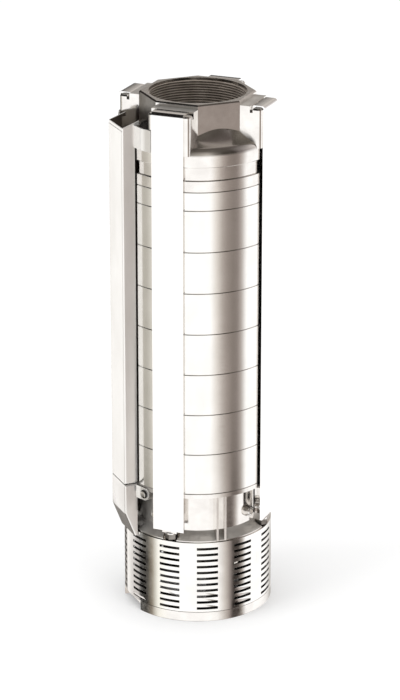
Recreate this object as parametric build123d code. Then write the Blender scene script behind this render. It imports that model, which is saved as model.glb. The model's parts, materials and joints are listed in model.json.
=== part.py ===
from build123d import *
from math import cos, degrees, radians, sin, sqrt, tan
import os

# Multistage borehole pump end, in millimetres. The origin is the centre of the motor flange face,
# +Z runs up the shaft to the discharge, and angles are counted from -Y towards +X.

# Driving sizes of the pump body
STAGES = 7
STAGE_PITCH = 37.82
CHAMBER_RADIUS = 66.75
CHAMBER_WALL = 2.5
JOINT_CHAMFER = 0.45
STRAP_COUNT = 4
SEAT_FIT = 0.05
RUNNING_FIT = 0.06
LAY_GAP = 0.25
OVERRUN = 1.0

# Suction interconnector and motor flange
FLANGE_PROUD = 0.2
FLANGE_THICKNESS = 9.4
PILOT_RADIUS = 38.1
MOTOR_BOLT_CIRCLE = 111.13
MOTOR_HOLE_RADIUS = 6.75
MOTOR_HOLE_ANGLE = -12.0
BOWL_HEIGHT = 47.4
LIP_HEIGHT = 4.3
LIP_SLOPE = 2.8
BOWL_INSET = 9.25
BOWL_WALL = 4.0
SHOULDER_EDGE = 3.6
SHOULDER_RISE = 6.8
SHOULDER_LAND = 1.3
BOWL_FOOT = 1.6
FLANGE_EDGE = 0.4
LEG_WIDTH = 15.0
LEG_DEPTH = 13.0
RIB_ANGLE = 41.3
RIB_THICKNESS = 2.0
RIB_SPACING = 7.4
RIB_INSET = 0.6
RIB_RISE = 0.5
NOTCH_WIDTH = 38.8
NOTCH_DEPTH = 8.0
LEG_INSET = 1.0
CABLE_PASS_WIDTH = 26.0

# Strainer sheet
STRAINER_PROUD = 0.65
STRAINER_SHEET = 1.2
STRAINER_HEIGHT = 67.8
SLOT_COLUMNS = 12
SLOT_ROWS = 11
SLOT_HEIGHT = 2.4
SLOT_LENGTH = 19.3
FIRST_SLOT = 3.6
LAST_SLOT = 5.8
PLUG_ANGLE = -16.8
PLUG_RISE = 19.3
PLUG_PROUD = 3.0
PLUG_BOSS_RADIUS = 5.2

# Straps with their studs
STRAP_WIDTH = 29.6
STRAP_SHEET = 2.0
STRAP_FOOT_RISE = 10.7
STRAP_BEND = 3.0
HOOK_DROP = 3.4
HOOK_INSET = 9.5
HOOK_ROUND = 1.6
STUD_RADIUS = 3.0
STUD_INSET = 5.0
STUD_WALL = 1.0
STUD_PROUD = 2.0
NUT_ROOM = 1.5
NUT_FLATS = 10.0
NUT_HEIGHT = 5.0
WASHER_RADIUS = 6.0
WASHER_THICKNESS = 1.2
STRAP_LUG_RISE = 7.8
STRAP_LUG_HEIGHT = 6.0
STRAP_LUG_WIDTH = 14.0
STRAP_BOSS_HEIGHT = 20.0
STRAP_BOSS_GAP = 4.0
STRAP_BOSS_WIDTH = 10.0

# Valve casing
CASING_HEIGHT = 73.6
CASING_RING = 10.3
BAND_HEIGHT = 11.7
BAND_DEPTH = 1.5
DOME_LAND = 9.4
DOME_SHOULDER_RADIUS = 8.6
DOME_SHOULDER_TURN = 63.4
NECK_SIDES = 8
NECK_CIRCUMRADIUS = 51.4
NECK_EDGE = 1.2
NECK_ROOT_RISE = 19.5
THREAD_RADIUS = 42.46
THREAD_DEPTH = 29.0
CASING_WALL = 6.75
SEAT_WALL = 4.25
CAVITY_TAPER = 9.0
BORE_EDGE = 1.0
LUG_DROP = 3.9
LUG_CORNER = 4.0
LUG_FOOT_RISE = 1.2
LUG_ROOT = 2.0

# Top chamber and bearings
TOP_CHAMBER_HEIGHT = 16.6
TOP_LEDGE = 5.5
ARM_WIDTH = 5.0
ARM_COUNT = 4
BEARING_RADIUS = 16.0
HUB_WALL = 3.0
TOP_HUB_INSET = 2.5

# Hydraulic stage, heights counted from the joint under the chamber
PLATE_THICKNESS = 3.5
NECK_RING_RADIUS = 32.0
NECK_RING_GAP = 0.35
GUIDE_PASSAGE = 6.25
GUIDE_PLATE_GAP = 1.8
GUIDE_PLATE = 2.0
HUB_TOP_GAP = 1.2
GUIDE_VANES = 8
GUIDE_VANE_INNER = 24.0
GUIDE_VANE_SWEEP = 52.0
VANE_THICKNESS = 1.8
VANE_BOW = 0.42

# Impeller, heights counted from the same joint
IMPELLER_GAP = 12.25
EYE_RING_RADIUS = 29.0
EYE_RING_WALL = 2.4
EYE_RING_DEPTH = 3.0
SHROUD_THICKNESS = 1.8
SHROUD_EYE_Z = 2.2
SHROUD_RIM_Z = 7.4
BACK_DISC_Z = 16.8
BACK_DISC = 2.0
IMPELLER_BLADES = 7
BLADE_INNER = 25.0
BLADE_TIP_INSET = 0.4
BLADE_SWEEP = -58.0
IMPELLER_HUB_WALL = 3.2
HUB_FOOT_Z = -1.0

# Shaft, cones and coupling
SHAFT_RADIUS = 11.0
SHAFT_EDGE = 1.0
CONE_SMALL = 12.6
CONE_LARGE = 14.2
CONE_SLIT = 1.6
CONE_NUT_FLATS = 27.0
CONE_NUT_HEIGHT = 5.0
COUPLING_RADIUS = 20.0
COUPLING_FOOT_Z = 36.0
COUPLING_HEIGHT = 62.0
COUPLING_EDGE = 1.5
MOTOR_SHAFT_RADIUS = 12.75
MOTOR_SHAFT_LENGTH = 73.0
COUPLING_WEB = 3.0

# Non-return valve
RETAINER_THICKNESS = 3.0
UPPER_RETAINER = 2.9
RETAINER_BORE = 37.0
SEAT_THICKNESS = 3.6
SEAT_LIP = 1.6
SEAT_LIP_MARGIN = 0.5
CUP_RADIUS = 41.0
CUP_RIM = 2.4
CUP_RISE = 7.5
CUP_CROWN = 5.2
CUP_SHELL = 2.2
CUP_BOSS_RADIUS = 10.5
STEM_RADIUS = 6.0
STEM_PROUD = 0.2
GUIDE_RING_LEDGE = 4.3
GUIDE_RING_WALL = 3.8
GUIDE_RING_HEIGHT = 4.5
GUIDE_HUB_RADIUS = 10.0
GUIDE_HUB_HEIGHT = 8.0
GUIDE_HUB_DROP = 8.4
GUIDE_ARM_DROP = 1.5
GUIDE_ARM_INSET = 0.9
SPRING_WIRE = 0.7
SPRING_RADIUS = 8.0
SPRING_TURNS = 4
O_RING_SECTION = 0.9
O_RING_INSET = 0.55

# Cable guard in sheet
GUARD_ANGLE = -45.0
GUARD_REACH = 11.15
GUARD_WIDTH = 33.0
GUARD_SHEET = 1.2
GUARD_CORNER = 1.6
GUARD_FOOT_GAP = 0.6
GUARD_RIM = 2.6
GUARD_RIM_STEP = 0.5
GUARD_TOP_DROP = 22.6
GUARD_TOP_RISE = 5.6
GUARD_TOP_INSET = 5.0
EAR_RISE = 1.7
EAR_HEIGHT = 19.6
EAR_FOLD_ANGLE = 22.0
EAR_END_GAP = 0.6
SEAM_GAP = 0.8
FUNNEL_BEND_RISE = 19.2
FUNNEL_FOOT_DROP = 3.5
TAB_ANGLE = 22.5
TAB_DROP = 7.2
TAB_RADIUS = 6.0
SCREW_RADIUS = 2.0
SCREW_HEAD_RADIUS = 3.9
SCREW_HEAD_HEIGHT = 2.2
SCREW_CROWN = 1.5
SCREW_LENGTH = 9.0

# Sizes that follow from the driving ones
STRAINER_RADIUS = CHAMBER_RADIUS + STRAINER_PROUD
STRAINER_BORE = STRAINER_RADIUS - STRAINER_SHEET
STRAINER_TOP_Z = FLANGE_THICKNESS + STRAINER_HEIGHT
PLUG_Z = STRAINER_TOP_Z + PLUG_RISE
SLOT_PITCH = (STRAINER_HEIGHT - FIRST_SLOT - LAST_SLOT) / (SLOT_ROWS - 1)
FLANGE_RADIUS = STRAINER_RADIUS + FLANGE_PROUD
SHOULDER_RADIUS = STRAINER_BORE - SEAT_FIT
SHOULDER_UNDER_Z = STRAINER_TOP_Z - SHOULDER_EDGE
BOWL_RADIUS = CHAMBER_RADIUS - BOWL_INSET
PLUG_FACE = BOWL_RADIUS + PLUG_PROUD
CHAMBER_BASE_Z = STRAINER_TOP_Z + BOWL_HEIGHT
CHAMBER_BORE = CHAMBER_RADIUS - CHAMBER_WALL
TOP_CHAMBER_Z = CHAMBER_BASE_Z + STAGES * STAGE_PITCH
CASING_Z = TOP_CHAMBER_Z + TOP_CHAMBER_HEIGHT
NECK_TOP_Z = CASING_Z + CASING_HEIGHT
DOME_Z = CASING_Z + CASING_RING + BAND_HEIGHT + DOME_LAND
NECK_ROOT_Z = DOME_Z + NECK_ROOT_RISE
STRAP_TOP_Z = NECK_TOP_Z - LUG_DROP
LUG_TOP_Z = STRAP_TOP_Z - STRAP_SHEET
CASING_BORE = CHAMBER_RADIUS - CASING_WALL
SEAT_BORE = CHAMBER_RADIUS - SEAT_WALL
STRAP_INNER = CHAMBER_RADIUS + LAY_GAP
STRAP_OUTER = STRAP_INNER + STRAP_SHEET
STUD_CIRCLE = STRAP_INNER - STUD_INSET
STRAP_LUG_Z = STRAINER_TOP_Z + STRAP_LUG_RISE
STRAP_BOSS_Z = STRAP_LUG_Z + STRAP_LUG_HEIGHT + STRAP_BOSS_GAP
STUD_END_Z = STRAP_LUG_Z - WASHER_THICKNESS - NUT_HEIGHT - STUD_PROUD
BEARING_SEAT = BEARING_RADIUS + SEAT_FIT
BEARING_BORE = SHAFT_RADIUS + RUNNING_FIT
HUB_RADIUS = BEARING_RADIUS + HUB_WALL
NECK_SEAT = NECK_RING_RADIUS + SEAT_FIT
NECK_RING_BORE = EYE_RING_RADIUS + NECK_RING_GAP
GUIDE_RADIUS = CHAMBER_BORE - GUIDE_PASSAGE
IMPELLER_RADIUS = CHAMBER_BORE - IMPELLER_GAP
GUIDE_PLATE_Z = BACK_DISC_Z + BACK_DISC + GUIDE_PLATE_GAP
HUB_TOP_Z = STAGE_PITCH + HUB_FOOT_Z - CONE_NUT_HEIGHT - HUB_TOP_GAP
SHAFT_FOOT_Z = MOTOR_SHAFT_LENGTH + COUPLING_WEB
SHAFT_TOP_Z = CASING_Z - CHAMBER_WALL
SEAT_Z = CASING_Z + RETAINER_THICKNESS
SHELF_Z = SEAT_Z + SEAT_THICKNESS + UPPER_RETAINER
SEAT_LIP_RADIUS = CUP_RADIUS + SEAT_LIP_MARGIN
CUP_Z = SEAT_Z + SEAT_THICKNESS + SEAT_LIP
CUP_BOSS_Z = CUP_Z + CUP_RISE + CUP_SHELL
GUIDE_SHELF_Z = NECK_TOP_Z - THREAD_DEPTH
GUIDE_RING_RADIUS = THREAD_RADIUS + GUIDE_RING_LEDGE
GUIDE_RING_BORE = GUIDE_RING_RADIUS - GUIDE_RING_WALL
GUIDE_HUB_Z = GUIDE_SHELF_Z - GUIDE_HUB_DROP
STEM_TOP_Z = GUIDE_HUB_Z + GUIDE_HUB_HEIGHT + STEM_PROUD
GUARD_RADIUS = CHAMBER_RADIUS + GUARD_REACH
TAB_OUTER = STRAP_INNER + GUARD_SHEET
TAB_Z = CHAMBER_BASE_Z - TAB_DROP
EAR_Z = DOME_Z + EAR_RISE
FULL_TURN = 360.0
NECK_TURN = FULL_TURN / NECK_SIDES / 2
NECK_FLAT = NECK_CIRCUMRADIUS * cos(radians(NECK_TURN))
NECK_SIDE = 2 * NECK_CIRCUMRADIUS * sin(radians(NECK_TURN))
ON_BASE = (Align.CENTER, Align.CENTER, Align.MIN)
FRONT = Plane(origin=(0, 0, 0), x_dir=(0, -1, 0), z_dir=(-1, 0, 0))


def polar(radius, angle):
    """Point in plan at a radius and an angle counted from -Y towards +X."""
    return (radius * sin(radians(angle)), -radius * cos(radians(angle)))


def turned(outline):
    """Solid of revolution about the shaft, from (radius, z) points or edges."""
    if isinstance(outline, list):
        outline = Polyline(*outline, close=True)
    return revolve(make_face(Plane.XZ * outline), Axis.Z, FULL_TURN)


def disc(radius, z_low, z_high):
    """Plain cylinder about the shaft."""
    return Pos(0, 0, z_low) * Cylinder(radius, z_high - z_low, align=ON_BASE)


def ring(outer, inner, z_low, z_high):
    """Plain ring about the shaft."""
    return disc(outer, z_low, z_high) - disc(inner, z_low, z_high)


def front_block(r_low, r_high, width, z_low, z_high):
    """Block that faces -Y, between two distances from the shaft."""
    block = Box(width, r_high - r_low, z_high - z_low, align=(Align.CENTER, Align.MIN, Align.MIN))
    return Pos(0, -r_high, z_low) * block


def front_plate(outline, width):
    """Plate over the -Y direction, from (radius, z) points or edges."""
    if isinstance(outline, list):
        outline = Polyline(*outline, close=True)
    return extrude(make_face(FRONT * outline), amount=width / 2, both=True)


def front_pin(radius, length, r_low, z):
    """Cylinder that points outwards along -Y from a distance r_low."""
    return Pos(0, -r_low, z) * Rot(90, 0, 0) * Cylinder(radius, length, align=ON_BASE)


def upright(radius, distance, z_low, z_high):
    """Vertical cylinder that stands at a distance along -Y."""
    return Pos(0, -distance, 0) * disc(radius, z_low, z_high)


def turn(shape, angle):
    """Shape turned about the shaft."""
    return Rot(0, 0, angle) * shape


def around(shape, count, start=0.0):
    """Equal copies of a shape about the shaft."""
    return [turn(shape, start + FULL_TURN / count * i) for i in range(count)]


def hexagon(flats, bore, z_low, z_high):
    """Hexagon ring about the shaft, with a flat towards -Y."""
    body = extrude(RegularPolygon(flats / 2, 6, major_radius=False, rotation=0), amount=z_high - z_low)
    body = Pos(0, 0, z_low) * turn(body, 30)
    return body - disc(bore, z_low, z_high)


def curved_vane(r_in, r_out, sweep, z_low, z_high):
    """Bowed vane of one thickness between two radii."""
    stations = ((r_in, 0), ((r_in + r_out) / 2, sweep * VANE_BOW), (r_out, sweep))
    face_side = [polar(r, a) for r, a in stations]
    back_side = [polar(r, a + degrees(VANE_THICKNESS / r)) for r, a in stations]
    outline = Curve() + [
        ThreePointArc(*face_side),
        Line(face_side[2], back_side[2]),
        ThreePointArc(*back_side),
        Line(back_side[0], face_side[0]),
    ]
    return Pos(0, 0, z_low) * extrude(make_face(outline), amount=z_high - z_low)


def chamber():
    """Stage casing: sleeve with top plate, and guide vanes that carry the bearing hub."""
    outer = CHAMBER_RADIUS
    edge = JOINT_CHAMFER
    plate_z = STAGE_PITCH - PLATE_THICKNESS
    shell = turned([
        (outer - edge, 0), (outer, edge), (outer, STAGE_PITCH - edge), (outer - edge, STAGE_PITCH),
        (NECK_SEAT, STAGE_PITCH), (NECK_SEAT, plate_z), (CHAMBER_BORE, plate_z), (CHAMBER_BORE, 0),
    ])
    plate_top = GUIDE_PLATE_Z + GUIDE_PLATE
    carrier = turned([
        (BEARING_SEAT, GUIDE_PLATE_Z), (GUIDE_RADIUS, GUIDE_PLATE_Z), (GUIDE_RADIUS, plate_top),
        (HUB_RADIUS, plate_top), (HUB_RADIUS, HUB_TOP_Z), (BEARING_SEAT, HUB_TOP_Z),
    ])
    vane = curved_vane(GUIDE_VANE_INNER, GUIDE_RADIUS, GUIDE_VANE_SWEEP, plate_top, plate_z)
    vane -= disc(NECK_RING_RADIUS + VANE_THICKNESS, HUB_TOP_Z, plate_z)
    return Part() + [shell, carrier] + around(vane, GUIDE_VANES)


def impeller():
    """Closed impeller: eye ring and shroud below, back disc and hub above, blades between."""
    eye_bore = EYE_RING_RADIUS - EYE_RING_WALL
    shroud = turned([
        (eye_bore, -EYE_RING_DEPTH), (EYE_RING_RADIUS, -EYE_RING_DEPTH), (EYE_RING_RADIUS, SHROUD_EYE_Z),
        (IMPELLER_RADIUS, SHROUD_RIM_Z), (IMPELLER_RADIUS, SHROUD_RIM_Z + SHROUD_THICKNESS),
        (EYE_RING_RADIUS, SHROUD_EYE_Z + SHROUD_THICKNESS), (eye_bore, SHROUD_EYE_Z + SHROUD_THICKNESS),
    ])
    disc_top = BACK_DISC_Z + BACK_DISC
    hub_outer = CONE_LARGE + IMPELLER_HUB_WALL
    hub = turned([
        (CONE_SMALL + SEAT_FIT, HUB_FOOT_Z), (hub_outer, HUB_FOOT_Z), (hub_outer, BACK_DISC_Z),
        (IMPELLER_RADIUS, BACK_DISC_Z), (IMPELLER_RADIUS, disc_top), (CONE_LARGE + SEAT_FIT, disc_top),
    ])
    half_shroud = SHROUD_THICKNESS / 2
    half_disc = BACK_DISC_Z + BACK_DISC / 2
    tip = IMPELLER_RADIUS - BLADE_TIP_INSET
    passage = turned([
        (BLADE_INNER - OVERRUN, SHROUD_EYE_Z + half_shroud), (EYE_RING_RADIUS, SHROUD_EYE_Z + half_shroud),
        (tip, SHROUD_RIM_Z + half_shroud), (tip, half_disc), (BLADE_INNER - OVERRUN, half_disc),
    ])
    blade = curved_vane(BLADE_INNER, IMPELLER_RADIUS + OVERRUN, BLADE_SWEEP, 0, disc_top) & passage
    return Part() + [shroud, hub] + around(blade, IMPELLER_BLADES)


def split_cone():
    """Slit taper bush that clamps an impeller to the shaft."""
    top = BACK_DISC_Z + BACK_DISC
    bore = SHAFT_RADIUS + SEAT_FIT
    cone = turned([(bore, HUB_FOOT_Z), (CONE_SMALL, HUB_FOOT_Z), (CONE_LARGE, top), (bore, top)])
    slit = front_block(0, CONE_LARGE + OVERRUN, CONE_SLIT, HUB_FOOT_Z, top)
    return cone - slit


def cone_nut():
    """Hexagon nut that draws the split cone into the impeller hub."""
    return hexagon(CONE_NUT_FLATS, SHAFT_RADIUS + SEAT_FIT, HUB_FOOT_Z - CONE_NUT_HEIGHT, HUB_FOOT_Z)


def neck_ring():
    """Wear ring in the plate under an impeller eye."""
    return ring(NECK_RING_RADIUS, NECK_RING_BORE, -PLATE_THICKNESS, 0)


def stage_bearing():
    """Rubber bearing ring in the hub of a chamber."""
    return ring(BEARING_RADIUS, BEARING_BORE, GUIDE_PLATE_Z, HUB_TOP_Z)


def suction_interconnector():
    """Casting between motor and first chamber: flange, four legs, shoulder and ribbed bowl."""
    top = CHAMBER_BASE_Z
    lip_under = top - LIP_HEIGHT
    bowl_bore = BOWL_RADIUS - BOWL_WALL
    cone_top = STRAINER_TOP_Z + SHOULDER_RISE
    cone_foot = STRAINER_TOP_Z + SHOULDER_LAND
    foot_drop = BOWL_FOOT * (cone_top - cone_foot) / (SHOULDER_RADIUS - BOWL_RADIUS)
    plate_under = top - PLATE_THICKNESS
    bowl = turned([
        (NECK_SEAT, top), (CHAMBER_RADIUS - JOINT_CHAMFER, top), (CHAMBER_RADIUS, top - JOINT_CHAMFER),
        (CHAMBER_RADIUS, lip_under), (BOWL_RADIUS, lip_under - LIP_SLOPE),
        (BOWL_RADIUS, cone_top + BOWL_FOOT),
        (BOWL_RADIUS + BOWL_FOOT, cone_top - foot_drop), (SHOULDER_RADIUS, cone_foot),
        (SHOULDER_RADIUS, SHOULDER_UNDER_Z), (bowl_bore, SHOULDER_UNDER_Z),
        (bowl_bore, plate_under - BOWL_WALL), (bowl_bore - BOWL_WALL, plate_under), (NECK_SEAT, plate_under),
    ])
    flange_in = FLANGE_RADIUS - FLANGE_EDGE
    flange = turned([
        (PILOT_RADIUS, 0), (flange_in, 0), (FLANGE_RADIUS, FLANGE_EDGE),
        (FLANGE_RADIUS, FLANGE_THICKNESS - FLANGE_EDGE), (flange_in, FLANGE_THICKNESS),
        (PILOT_RADIUS, FLANGE_THICKNESS),
    ])
    leg_outer = FLANGE_RADIUS - NOTCH_DEPTH - LEG_INSET
    leg = front_block(leg_outer - LEG_DEPTH, leg_outer, LEG_WIDTH, FLANGE_THICKNESS, SHOULDER_UNDER_Z)
    root = bowl_bore + OVERRUN
    rib = front_block(root, CHAMBER_RADIUS - RIB_INSET, RIB_THICKNESS, STRAINER_TOP_Z + RIB_RISE,
                      lip_under + OVERRUN)
    ribs = [Pos(side * RIB_SPACING / 2, 0, 0) * rib for side in (-1, 1)]
    rib_pair = Part() + ribs
    lug_top_z = STRAP_LUG_Z + STRAP_LUG_HEIGHT
    strap_lug = front_block(root, CHAMBER_RADIUS, STRAP_LUG_WIDTH, STRAP_LUG_Z, lug_top_z)
    tab_boss = front_pin(TAB_RADIUS, CHAMBER_RADIUS - LAY_GAP - bowl_bore, bowl_bore, TAB_Z)
    plug_boss = front_pin(PLUG_BOSS_RADIUS, PLUG_FACE - bowl_bore, bowl_bore, PLUG_Z)
    body = Part() + [flange, bowl]
    body += around(leg, STRAP_COUNT, RIB_ANGLE)
    body += around(rib_pair, STRAP_COUNT, RIB_ANGLE)
    body += around(strap_lug, STRAP_COUNT)
    body += [turn(tab_boss, GUARD_ANGLE + side * TAB_ANGLE) for side in (-1, 1)]
    body += around(plug_boss, STRAP_COUNT, PLUG_ANGLE)
    stud_hole = upright(STUD_RADIUS + LAY_GAP, STUD_CIRCLE, STRAP_LUG_Z, lug_top_z)
    nut_pocket = upright(WASHER_RADIUS + NUT_ROOM, STUD_CIRCLE, STUD_END_Z - OVERRUN, STRAP_LUG_Z)
    body -= around(stud_hole, STRAP_COUNT)
    body -= around(nut_pocket, STRAP_COUNT)
    body -= around(upright(MOTOR_HOLE_RADIUS, MOTOR_BOLT_CIRCLE / 2, 0, FLANGE_THICKNESS),
                   STRAP_COUNT, MOTOR_HOLE_ANGLE)
    rim = FLANGE_RADIUS + OVERRUN
    notch = front_block(FLANGE_RADIUS - NOTCH_DEPTH, rim, NOTCH_WIDTH, 0, FLANGE_THICKNESS)
    cable_pass = front_block(BOWL_RADIUS, rim, CABLE_PASS_WIDTH, SHOULDER_UNDER_Z, lip_under - LIP_SLOPE)
    body -= turn(notch, GUARD_ANGLE)
    body -= turn(cable_pass, GUARD_ANGLE)
    tab_hole = front_pin(SCREW_RADIUS + SEAT_FIT, SCREW_LENGTH, CHAMBER_RADIUS - SCREW_LENGTH, TAB_Z)
    plug_hole = front_pin(SCREW_RADIUS + SEAT_FIT, SCREW_LENGTH, PLUG_FACE - SCREW_LENGTH, PLUG_Z)
    body -= [turn(tab_hole, GUARD_ANGLE + side * TAB_ANGLE) for side in (-1, 1)]
    body -= around(plug_hole, STRAP_COUNT, PLUG_ANGLE)
    return body


def strainer():
    """Slotted sheet sleeve over the suction windows."""
    cut_in = STRAINER_BORE * cos(radians(FULL_TURN / SLOT_COLUMNS / 2))
    slot = front_block(cut_in, STRAINER_RADIUS + OVERRUN, SLOT_LENGTH, 0, SLOT_HEIGHT)
    first = FLANGE_THICKNESS + FIRST_SLOT - SLOT_HEIGHT / 2
    column = [Pos(0, 0, first + row * SLOT_PITCH) * slot for row in range(SLOT_ROWS)]
    cuts = [turn(piece, FULL_TURN / SLOT_COLUMNS * i) for i in range(SLOT_COLUMNS) for piece in column]
    return ring(STRAINER_RADIUS, STRAINER_BORE, FLANGE_THICKNESS, STRAINER_TOP_Z) - cuts


def pan_screw(head_r, z):
    """Round-head screw that points inwards along -Y, with its head on a face at head_r."""
    shank = front_pin(SCREW_RADIUS, SCREW_LENGTH, head_r - SCREW_LENGTH, z)
    head = front_pin(SCREW_HEAD_RADIUS, SCREW_HEAD_HEIGHT, head_r, z)
    crown = head.edges().filter_by(GeomType.CIRCLE).sort_by(Axis.Y)[0]
    return shank + fillet(crown, SCREW_CROWN)


def dome_outline():
    """Outside of the valve casing in (radius, z), from the joint to the root of the neck."""
    base = CASING_Z
    outer = CHAMBER_RADIUS
    band_z = base + CASING_RING
    land_z = band_z + BAND_HEIGHT
    shoulder = JernArc((outer, DOME_Z), (0, 1), DOME_SHOULDER_RADIUS, DOME_SHOULDER_TURN)
    blend = TangentArc(shoulder @ 1, (NECK_FLAT, NECK_ROOT_Z), tangent=shoulder % 1)
    wall = Polyline(
        (0, base), (outer - JOINT_CHAMFER, base), (outer, base + JOINT_CHAMFER),
        (outer, band_z - JOINT_CHAMFER), (outer - JOINT_CHAMFER, band_z), (outer - BAND_DEPTH, band_z),
        (outer - BAND_DEPTH, land_z), (outer - JOINT_CHAMFER, land_z), (outer, land_z + JOINT_CHAMFER),
        (outer, DOME_Z),
    )
    crown = Polyline((NECK_FLAT, NECK_ROOT_Z), (0, NECK_ROOT_Z), (0, base))
    return Curve() + [wall, shoulder, blend, crown]


def valve_casing():
    """Domed discharge casing with octagonal threaded neck and four strap lugs."""
    base = CASING_Z
    neck_plan = RegularPolygon(NECK_CIRCUMRADIUS, NECK_SIDES, rotation=NECK_TURN)
    neck = Pos(0, 0, DOME_Z) * extrude(neck_plan, amount=NECK_TOP_Z - DOME_Z)
    neck = chamfer(neck.edges().group_by(Axis.Z)[-1], NECK_EDGE)
    lug_foot = DOME_Z + LUG_FOOT_RISE
    hook_in = NECK_FLAT + HOOK_INSET
    groove_in = hook_in - LAY_GAP
    groove_out = hook_in + STRAP_SHEET + LAY_GAP
    groove_z = LUG_TOP_Z - HOOK_DROP - LAY_GAP
    lug = front_plate([
        (NECK_FLAT - LUG_ROOT, lug_foot), (STRAP_INNER, lug_foot), (STRAP_INNER, LUG_TOP_Z),
        (groove_out, LUG_TOP_Z), (groove_out, groove_z), (groove_in, groove_z), (groove_in, STRAP_TOP_Z),
        (NECK_FLAT - LUG_ROOT, STRAP_TOP_Z),
    ], NECK_SIDE)
    corners = lug.edges().filter_by(Axis.Z).group_by(Axis.Y)[0]
    lug = fillet(corners, LUG_CORNER)
    crest = lug.edges().filter_by(Axis.X).group_by(Axis.Y)[0].sort_by(Axis.Z)[-1]
    lug = chamfer(crest, STRAP_BEND - STRAP_SHEET + LAY_GAP)
    cavity_neck = GUIDE_SHELF_Z - GUIDE_RING_HEIGHT
    cavity = turned([
        (0, base), (SEAT_BORE, base), (SEAT_BORE, SHELF_Z), (CASING_BORE, SHELF_Z),
        (CASING_BORE, cavity_neck - CAVITY_TAPER), (GUIDE_RING_RADIUS + SEAT_FIT, cavity_neck),
        (GUIDE_RING_RADIUS + SEAT_FIT, GUIDE_SHELF_Z), (THREAD_RADIUS, GUIDE_SHELF_Z),
        (THREAD_RADIUS, NECK_TOP_Z - BORE_EDGE), (THREAD_RADIUS + BORE_EDGE, NECK_TOP_Z), (0, NECK_TOP_Z),
    ])
    return Part() + [turned(dome_outline()), neck] + around(lug, STRAP_COUNT) - cavity


def strap():
    """Flat strap: hooked end on its lug, welded stud boss at the foot."""
    hook_in = NECK_FLAT + HOOK_INSET
    hook_out = hook_in + STRAP_SHEET
    lip_z = LUG_TOP_Z - HOOK_DROP
    foot_z = STRAINER_TOP_Z + STRAP_FOOT_RISE
    strip = front_plate([
        (STRAP_INNER, foot_z), (STRAP_OUTER, foot_z), (STRAP_OUTER, STRAP_TOP_Z), (hook_in, STRAP_TOP_Z),
        (hook_in, lip_z), (hook_out, lip_z), (hook_out, LUG_TOP_Z), (STRAP_INNER, LUG_TOP_Z),
    ], STRAP_WIDTH)
    across = strip.edges().filter_by(Axis.X)
    strip = fillet(across.group_by(Axis.Y)[0].sort_by(Axis.Z)[-1], STRAP_BEND)
    across = strip.edges().filter_by(Axis.X)
    strip = fillet(across.group_by(Axis.Y)[-1].sort_by(Axis.Z)[-1], HOOK_ROUND)
    boss_in = STUD_CIRCLE - STUD_RADIUS - STUD_WALL
    boss_top = STRAP_BOSS_Z + STRAP_BOSS_HEIGHT
    boss = front_block(boss_in, STRAP_INNER, STRAP_BOSS_WIDTH, STRAP_BOSS_Z, boss_top)
    return strip + boss - upright(STUD_RADIUS + SEAT_FIT, STUD_CIRCLE, STRAP_BOSS_Z, boss_top)


def strap_stud():
    """Threaded stud from the strap boss down through its lug."""
    return upright(STUD_RADIUS, STUD_CIRCLE, STUD_END_Z, STRAP_BOSS_Z + STRAP_BOSS_HEIGHT)


def strap_washer():
    """Washer under the strap lug."""
    low = STRAP_LUG_Z - WASHER_THICKNESS
    return Pos(0, -STUD_CIRCLE, 0) * ring(WASHER_RADIUS, STUD_RADIUS + SEAT_FIT, low, STRAP_LUG_Z)


def strap_nut():
    """Hexagon nut that tightens a strap."""
    top = STRAP_LUG_Z - WASHER_THICKNESS
    return Pos(0, -STUD_CIRCLE, 0) * hexagon(NUT_FLATS, STUD_RADIUS + SEAT_FIT, top - NUT_HEIGHT, top)


def top_chamber():
    """Short top casing with the arms that carry the top bearing."""
    outer = CHAMBER_RADIUS
    edge = JOINT_CHAMFER
    base = TOP_CHAMBER_Z
    top = CASING_Z
    ledge_in = SEAT_BORE - TOP_LEDGE
    shell = turned([
        (outer - edge, base), (outer, base + edge), (outer, top - edge), (outer - edge, top),
        (ledge_in, top), (ledge_in, top - CHAMBER_WALL),
        (CHAMBER_BORE, top - CHAMBER_WALL), (CHAMBER_BORE, base),
    ])
    hub_foot = base + TOP_HUB_INSET
    hub = ring(HUB_RADIUS, BEARING_SEAT, hub_foot, top - TOP_HUB_INSET)
    arm_out = CHAMBER_BORE + OVERRUN
    arm = front_block(HUB_RADIUS - OVERRUN, arm_out, ARM_WIDTH, hub_foot, top - CHAMBER_WALL)
    return Part() + [shell, hub] + around(arm, ARM_COUNT, RIB_ANGLE)


def top_bearing():
    """Rubber bearing ring for the upper end of the shaft."""
    return ring(BEARING_RADIUS, BEARING_BORE, TOP_CHAMBER_Z + TOP_HUB_INSET, CASING_Z - TOP_HUB_INSET)


def lower_seat_retainer():
    """Ring under the valve seat, grooved for the seal ring."""
    outer = SEAT_BORE - SEAT_FIT
    groove_in = outer - 2 * O_RING_SECTION - SEAT_FIT
    groove = ring(outer + OVERRUN, groove_in, CASING_Z + O_RING_INSET, SEAT_Z - O_RING_INSET)
    return ring(outer, RETAINER_BORE, CASING_Z, SEAT_Z) - groove


def casing_o_ring():
    """Seal ring in the groove of the lower retainer."""
    middle = SEAT_BORE - SEAT_FIT - O_RING_SECTION
    return Pos(0, 0, (CASING_Z + SEAT_Z) / 2) * Torus(middle, O_RING_SECTION - SEAT_FIT)


def valve_seat():
    """Rubber seat with a raised sealing lip."""
    outer = SEAT_BORE - SEAT_FIT
    face_z = SEAT_Z + SEAT_THICKNESS
    return turned([
        (RETAINER_BORE, SEAT_Z), (outer, SEAT_Z), (outer, face_z), (SEAT_LIP_RADIUS, face_z),
        (SEAT_LIP_RADIUS - SEAT_LIP / 2, CUP_Z), (RETAINER_BORE, CUP_Z),
    ])


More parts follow.
